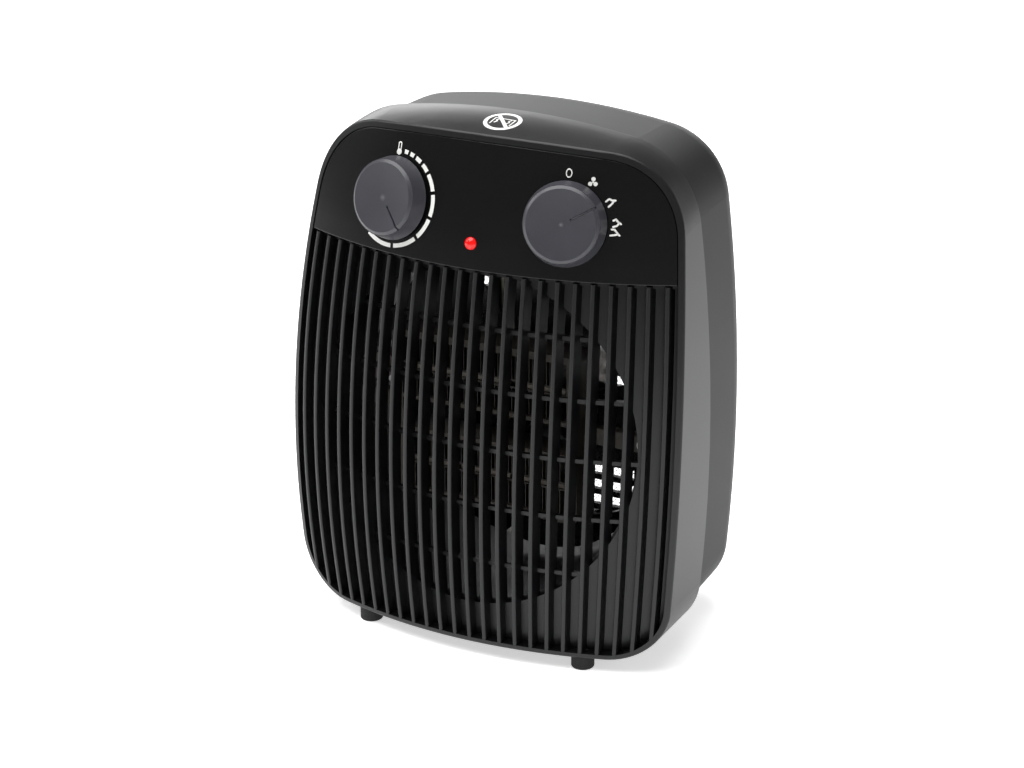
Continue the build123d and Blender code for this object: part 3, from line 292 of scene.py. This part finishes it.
# Lamp bulb: thin clear glass, faintly smoked near its ends
lamp, tree, shader, place = startMaterial("lamp_glass", {
    "Transmission Weight": 0.9, "IOR": 1.45, "Emission Strength": 0.8})
smokeSize = 2  # mm
smoke = addNode(tree, "TexNoise", {"Vector": place, "Scale": 1 / (smokeSize * mm), "Detail": 3.0})
tree.links.new(mixColours(tree, smoke.outputs["Fac"], linear("#ffd9c4"), linear("#e7a98a")),
               shader.inputs["Base Color"])
tree.links.new(mixColours(tree, smoke.outputs["Fac"], linear("#ff6a2a"), linear("#c8320c")),
               shader.inputs["Emission Color"])
tree.links.new(spread(tree, smoke.outputs["Fac"], 0.04, 0.14), shader.inputs["Roughness"])
finishes["lamp_glass"] = lamp

# Pad-printed ink: thick, slightly chalky white with soft pinholes
inkLook = {"white": "#f2f2ee", "thin": "#c9c9c6", "pinhole": 0.35, "bump": 0.3, "depth": 0.01}
ink, tree, shader, place = startMaterial("print_ink", {"IOR": 1.45, "Specular IOR Level": 0.4})
pinholes = addNode(tree, "TexNoise", {"Vector": place, "Detail": 4.0,
                                      "Scale": 1 / (inkLook["pinhole"] * mm)})
inkTone = mixColours(tree, spread(tree, pinholes.outputs["Fac"], 0.0, 0.3),
                     linear(inkLook["white"]), linear(inkLook["thin"]))
tree.links.new(inkTone, shader.inputs["Base Color"])
tree.links.new(spread(tree, pinholes.outputs["Fac"], 0.38, 0.55), shader.inputs["Roughness"])
inkBump = addNode(tree, "Bump", {"Height": pinholes.outputs["Fac"], "Strength": inkLook["bump"],
                                 "Distance": inkLook["depth"] * mm})
tree.links.new(inkBump.outputs["Normal"], shader.inputs["Normal"])

# Grey strip for the pointer lines: a painted highlight where the groove floor catches the light, not ink
pointerHighlightPaint, tree, shader, place = startMaterial("pointer_painted_highlight", {"IOR": 1.45})
highlightLook = {"grey": "#8b8b90", "paler": "#a2a2a7", "grain": 0.6}
highlightNoise = addNode(tree, "TexNoise", {"Vector": place, "Scale": 1 / (highlightLook["grain"] * mm), "Detail": 3.0})
# painted highlight colour: light grey, mottled by noise
highlightTone = mixColours(tree, highlightNoise.outputs["Fac"], linear(highlightLook["grey"]), linear(highlightLook["paler"]))
tree.links.new(highlightTone, shader.inputs["Base Color"])
tree.links.new(spread(tree, highlightNoise.outputs["Fac"], 0.4, 0.55), shader.inputs["Roughness"])

for subpart in frame["record"]["subparts"]:
    piece = nodes[subpart["node"]]
    if not piece.material_slots:
        piece.data.materials.append(finishes[subpart["material_slot"]])
    for holder in piece.material_slots:
        holder.material = finishes[subpart["material_slot"]]
print("finishes made:", len(finishes) + 1)


def newPiece(name, bm, material, body):
    mesh = bpy.data.meshes.new(name)
    bm.to_mesh(mesh)
    bm.free()
    piece = bpy.data.objects.new(name, mesh)
    bpy.context.scene.collection.objects.link(piece)
    mesh.materials.append(material)
    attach(piece, body)
    return piece


# Dust screen: crossed threads woven over and under, cut to the round intake
screenSize = {"pitch": 2.2, "thread": 0.26, "wave": 0.16, "slant": 45}
screenLow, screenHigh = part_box("dust_screen")
screenMiddle = (screenLow + screenHigh) / 2
screenRadius = (screenHigh.x - screenLow.x) / 2
weave = bpy.data.curves.new("dustScreenThreads", "CURVE")
weave.dimensions = "3D"
weave.bevel_depth = screenSize["thread"] / 2 * mm
weave.bevel_resolution = 0
weave.use_fill_caps = True
pitch = screenSize["pitch"] * mm
threads = int(screenRadius / pitch)
for across in (0, 1):
    turnToSlant = Matrix.Rotation(radians(screenSize["slant"] + 90 * across), 4, "Y")
    for row in range(-threads, threads + 1):
        side = row * pitch
        halfLength = (screenRadius ** 2 - side ** 2) ** 0.5
        crossings = int(halfLength / pitch)
        if crossings < 1:
            continue
        crossed = [step * pitch for step in range(-crossings, crossings + 1)]
        stops = [-halfLength] + crossed + [halfLength]
        thread = weave.splines.new("POLY")
        thread.points.add(len(stops) - 1)
        for point, stop in zip(thread.points, stops):
            over = 1 if (round(stop / pitch) + row + across) % 2 else -1
            lift = 0 if abs(stop) == halfLength else over * screenSize["wave"] * mm
            spot = turnToSlant @ Vector((stop, lift, side)) + screenMiddle
            point.co = (*spot, 1)
screenDraft = bpy.data.objects.new("dustScreenDraft", weave)
bpy.context.scene.collection.objects.link(screenDraft)
bpy.context.view_layer.update()
screenMesh = bpy.data.meshes.new_from_object(screenDraft)
bpy.data.objects.remove(screenDraft)
bm = bmesh.new()
bm.from_mesh(screenMesh)
bmesh.ops.recalc_face_normals(bm, faces=bm.faces[:])
dustScreen = newPiece("dustScreen", bm, finishes["screen_mesh"], "casing")
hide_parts("dust_screen")
print("dust screen woven:", len(dustScreen.data.polygons), "faces")


# Printed marks are cut flat, then laid on the real surface by casting each point onto it
def dialFrame(jointName):
    joint = next(j for j in frame["joints"] if j["name"] == jointName)
    outward = -Vector(joint["axis"]).normalized()
    right = Vector((0, 0, 1)).cross(outward).normalized()
    up = outward.cross(right)
    return Vector(joint["pos_m"]), right, up, outward


def addArc(bm, radius, width, start, end, middle=(0, 0)):
    # a flat strip of ring between two clock angles, spun from its starting edge
    ends = [bm.verts.new((middle[0] * mm, (middle[1] + radius + side * width / 2) * mm, 0))
            for side in (-1, 1)]
    edge = bm.edges.new(ends)
    hub = Vector((middle[0], middle[1], 0)) * mm
    bmesh.ops.rotate(bm, verts=ends, cent=hub, matrix=Matrix.Rotation(-radians(start), 3, "Z"))
    whole = end - start >= 360
    bmesh.ops.spin(bm, geom=ends + [edge], cent=hub, axis=(0, 0, 1), angle=-radians(end - start),
                   steps=max(3, round((end - start) / 4)), use_merge=whole, use_duplicate=False)


def addDisc(bm, middle, radius, stretch=1.0, turn=0.0):
    made = bmesh.ops.create_circle(bm, cap_ends=True, segments=20, radius=radius * mm)
    bmesh.ops.scale(bm, verts=made["verts"], vec=(1, stretch, 1))
    turning = Matrix.Rotation(-radians(turn), 3, "Z")
    bmesh.ops.rotate(bm, verts=made["verts"], cent=(0, 0, 0), matrix=turning)
    bmesh.ops.translate(bm, verts=made["verts"], vec=(middle[0] * mm, middle[1] * mm, 0))


def addBar(bm, start, end, width):
    # a straight strip, cut crossways so that it can bend over the curved panel
    run = (Vector(end) - Vector(start)) * mm
    made = bmesh.ops.create_grid(bm, x_segments=6, y_segments=1, size=0.5)
    bmesh.ops.scale(bm, verts=made["verts"], vec=(run.length, width * mm, 1))
    slope = Matrix.Rotation(run.angle_signed(Vector((1, 0))), 3, "Z")
    bmesh.ops.rotate(bm, verts=made["verts"], cent=(0, 0, 0), matrix=slope)
    centre = (Vector(start) + Vector(end)) / 2 * mm
    bmesh.ops.translate(bm, verts=made["verts"], vec=(*centre, 0))


printFit = {"sunk": 0.25, "castFrom": 30}  # the share of the ink below the surface, and mm above it


def printOn(name, bm, target, place, right, up, outward, thickness, finish=None, body="casing"):
    # gives the flat marks a thickness, then casts every point onto the piece that carries them
    bm.normal_update()
    bmesh.ops.reverse_faces(bm, faces=[face for face in bm.faces if face.normal.z < 0])
    bmesh.ops.solidify(bm, geom=bm.faces[:], thickness=thickness * mm)
    bmesh.ops.recalc_face_normals(bm, faces=bm.faces[:])
    middle = sum((v.co.z for v in bm.verts)) / len(bm.verts)
    for vert in bm.verts:
        share = 1 - printFit["sunk"] if vert.co.z > middle else -printFit["sunk"]
        proud = thickness * share * mm
        above = place + right * vert.co.x + up * vert.co.y + outward * printFit["castFrom"] * mm
        hit, spot, _, _ = nodes[target].ray_cast(above, -outward)
        if not hit:
            raise RuntimeError(name + " misses " + target)
        vert.co = spot + outward * proud
    return newPiece(name, bm, finish or ink, body)


def addLine(bm, bends, width):
    for start, end in zip(bends, bends[1:]):
        addBar(bm, start, end, width)
    for bend in bends:
        addDisc(bm, bend, width / 2)


# Thermostat scale: dashes that grow clockwise, and a thermometer where they start
scaleMarks = {"radius": 21.5, "width": 1.9, "ink": 0.06,
              "dashes": [(4, 9.4), (13, 19.2), (23, 31.8), (36, 46.6), (50.6, 71.6),
                         (75.8, 102.2), (106.2, 133), (137.4, 171.2), (175.6, 214)],
              "bulb": (-1.67, 20.81), "bulbRadius": 1.4, "tube": (-1.82, 24.4), "tubeWidth": 1.5,
              "stroke": 0.5}
bm = bmesh.new()
for start, end in scaleMarks["dashes"]:
    addArc(bm, scaleMarks["radius"], scaleMarks["width"], start, end)
bulb, tube, tubeReach = scaleMarks["bulb"], scaleMarks["tube"], scaleMarks["tubeWidth"] / 2
addDisc(bm, bulb, scaleMarks["bulbRadius"])
addArc(bm, tubeReach, scaleMarks["stroke"], -90, 90, tube)
for side in (-tubeReach, tubeReach):
    addBar(bm, (tube[0] + side, tube[1]), (bulb[0] + side, bulb[1]), scaleMarks["stroke"])
printOn("thermostatScale", bm, "control_panel", *dialFrame("thermostat_turn"), scaleMarks["ink"])

# Switch marks clockwise round the dial: off, fan only, half heat, full heat
switchMarks = {"ink": 0.06, "zero": (0.13, 22.25), "zeroRadius": 1.78, "zeroNarrow": 0.7, "stroke": 0.6,
               "lobes": [(11.11, 20.41), (9.83, 18.25), (12.19, 18.37)], "lobeRadius": 0.95,
               "fanHub": (11.03, 19.2), "fanArm": 0.6, "waveWidth": 0.85,
               "waves": [[(17.34, 11.1), (18.72, 12.27), (19.96, 11.76), (21.43, 11.81)],
                         [(20.9, 11.7), (19.88, 10.19), (18.64, 8.93)],
                         [(21.16, 3.06), (22.32, 3.65), (23.34, 2.46), (24.52, 1.78)],
                         [(23.7, 1.97), (22.79, 0.85), (21.23, 0.33)],
                         [(20.71, -0.84), (21.91, -0.75), (22.79, -1.82), (24.22, -3.25)],
                         [(23.6, -2.7), (22.15, -3.14), (20.3, -3.48)]]}
bm = bmesh.new()
addArc(bm, switchMarks["zeroRadius"], switchMarks["stroke"], 0, 360)
bmesh.ops.scale(bm, verts=bm.verts[:], vec=(switchMarks["zeroNarrow"], 1, 1))
bmesh.ops.translate(bm, verts=bm.verts[:], vec=(*(Vector(switchMarks["zero"]) * mm), 0))
for lobe in switchMarks["lobes"]:
    addDisc(bm, lobe, switchMarks["lobeRadius"])
    addBar(bm, switchMarks["fanHub"], lobe, switchMarks["fanArm"])
for wave in switchMarks["waves"]:
    addLine(bm, wave, switchMarks["waveWidth"])
printOn("switchMarks", bm, "control_panel", *dialFrame("switch_turn"), switchMarks["ink"])

# Round sign on the top: a plain ring and bar over a box with two rising waves
topMark = {"place": (2.4, -16.4), "radius": 7.85, "ring": 1.8, "bar": 1.65, "turn": 51.5, "ink": 0.06,
           "box": [(-4.9, -3.3), (-4.6, 2.4), (5.4, 2.2), (4.9, -3.4)], "boxLine": 0.55,
           "waves": [[(-3.3, -1.9), (-2.5, -0.7), (-3.2, 0.4), (-2.5, 1.4)],
                     [(2.9, -1.9), (3.6, -0.7), (2.9, 0.4), (3.6, 1.4)]], "waveWidth": 0.7}
bm = bmesh.new()
addArc(bm, topMark["radius"], topMark["ring"], 0, 360)
slant = radians(topMark["turn"])
barEnd = Vector((cos(slant), -sin(slant))) * topMark["radius"]
addBar(bm, -barEnd, barEnd, topMark["bar"])
addLine(bm, topMark["box"], topMark["boxLine"])
for wave in topMark["waves"]:
    addLine(bm, wave, topMark["waveWidth"])
markPlace = Vector((topMark["place"][0] * mm, topMark["place"][1] * mm, cadBox[1][2]))
printOn("topMark", bm, "front_cover", markPlace, Vector((1, 0, 0)), Vector((0, 1, 0)),
        Vector((0, 0, 1)), topMark["ink"])

# Pointer lines: a thin grey strip along the floor of each knob's groove, a painted highlight where the groove
# catches the light
pointerHighlightLook = {"start": 5.0, "end": 16.4, "width": 0.5, "ink": 0.06}
dials = {
    "thermostat": dict(knob="thermostat_knob", joint="thermostat_turn", body="thermostat_dial", clock=137),
    "switch": dict(knob="switch_knob", joint="switch_turn", body="switch_dial", clock=60),
}
for name, dial in dials.items():
    aim = Vector((sin(radians(dial["clock"])), cos(radians(dial["clock"]))))
    bm = bmesh.new()
    # the strip is painted highlight; its ink entry is only the strip's thickness
    addBar(bm, aim * pointerHighlightLook["start"], aim * pointerHighlightLook["end"], pointerHighlightLook["width"])
    printOn(name + "Pointer", bm, dial["knob"], *dialFrame(dial["joint"]), pointerHighlightLook["ink"],
            pointerHighlightPaint, dial["body"])
print("marks printed")


# Knobs: the CAD shape with its triangles merged, so that the dished face shades as one surface
knobLook = {"merge": 0.004, "sharpAngle": 24}
for name, dial in dials.items():
    bm = bmesh.new()
    bm.from_mesh(nodes[dial["knob"]].data)
    bmesh.ops.remove_doubles(bm, verts=bm.verts[:], dist=knobLook["merge"] * mm)
    bmesh.ops.dissolve_degenerate(bm, edges=bm.edges[:], dist=knobLook["merge"] * mm)
    for face in bm.faces:
        face.smooth = True
    for edge in bm.edges:
        edge.smooth = edge.calc_face_angle(0) < radians(knobLook["sharpAngle"])
    newKnob = newPiece(name + "Knob", bm, finishes["knob_plastic"], dial["body"])
    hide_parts(dial["knob"])
print("knobs merged")

# Floor: a wide pale sheet, a little luminous so that no shadow goes heavy
floorLook = {"colour": "#f4f4f4", "glow": 0.55, "size": 14.0, "fibre": 30}
bm = bmesh.new()
bmesh.ops.create_grid(bm, x_segments=1, y_segments=1, size=floorLook["size"] / 2)
floorMesh = bpy.data.meshes.new("floor")
bm.to_mesh(floorMesh)
bm.free()
floor = bpy.data.objects.new("floor", floorMesh)
bpy.context.scene.collection.objects.link(floor)
floorFinish, tree, shader, place = startMaterial("floor_paper", {
    "Roughness": 0.9, "Specular IOR Level": 0.1, "Emission Color": linear("#ffffff"),
    "Emission Strength": floorLook["glow"]})
fibre = addNode(tree, "TexNoise", {"Vector": place, "Scale": 1 / (floorLook["fibre"] * mm), "Detail": 3.0})
tree.links.new(mixColours(tree, fibre.outputs["Fac"], linear(floorLook["colour"]), linear("#ffffff")),
               shader.inputs["Base Color"])
floorMesh.materials.append(floorFinish)

# Studio: soft boxes around a dim room
lightBoxes = {
    "overhead": dict(place=(-0.3, -0.2, 1.7), aim=(0, 0, 0), size=(1.8, 1.8), power=46),
    "behindRight": dict(place=(1.3, 0.9, 0.55), aim=(0.05, 0, 0.12), size=(0.9, 0.9), power=4),
    "behindTop": dict(place=(-0.9, 2.1, 0.75), aim=(0, 0, 0.2), size=(2.2, 0.6), power=20),
    "left": dict(place=(-1.6, -0.3, 1.0), aim=(0, 0, 0.15), size=(0.7, 0.7), power=7),
}
for name, box in lightBoxes.items():
    light = bpy.data.lights.new(name, "AREA")
    light.shape = "RECTANGLE"
    light.size, light.size_y = box["size"]
    light.energy = box["power"]
    softBox = bpy.data.objects.new(name, light)
    softBox.location = box["place"]
    softBox.rotation_euler = (Vector(box["aim"]) - softBox.location).to_track_quat("-Z", "Y").to_euler()
    softBox.visible_camera = False
    bpy.context.scene.collection.objects.link(softBox)
roomLook = {"colour": "#ffffff", "strength": 0.25}
room = bpy.data.worlds.new("studio")
bpy.context.scene.world = room
room.use_nodes = True
room.node_tree.nodes["Background"].inputs["Color"].default_value = linear(roomLook["colour"])
room.node_tree.nodes["Background"].inputs["Strength"].default_value = roomLook["strength"]
bpy.context.scene.view_settings.view_transform = "Standard"

# Camera: raised and to the right, looking down on the front
cameraLook = {"place": (0.52705, -1.04585, 0.57492), "tilt": 68.56, "roll": 0.08, "turn": 26.78,
              "lens": 94.69}
camera = bpy.data.objects.new("camera", bpy.data.cameras.new("camera"))
camera.data.lens = cameraLook["lens"]
camera.data.sensor_width = 36
camera.location = cameraLook["place"]
camera.rotation_euler = [radians(cameraLook[part]) for part in ("tilt", "roll", "turn")]
bpy.context.scene.collection.objects.link(camera)
bpy.context.scene.camera = camera

print("scene done")
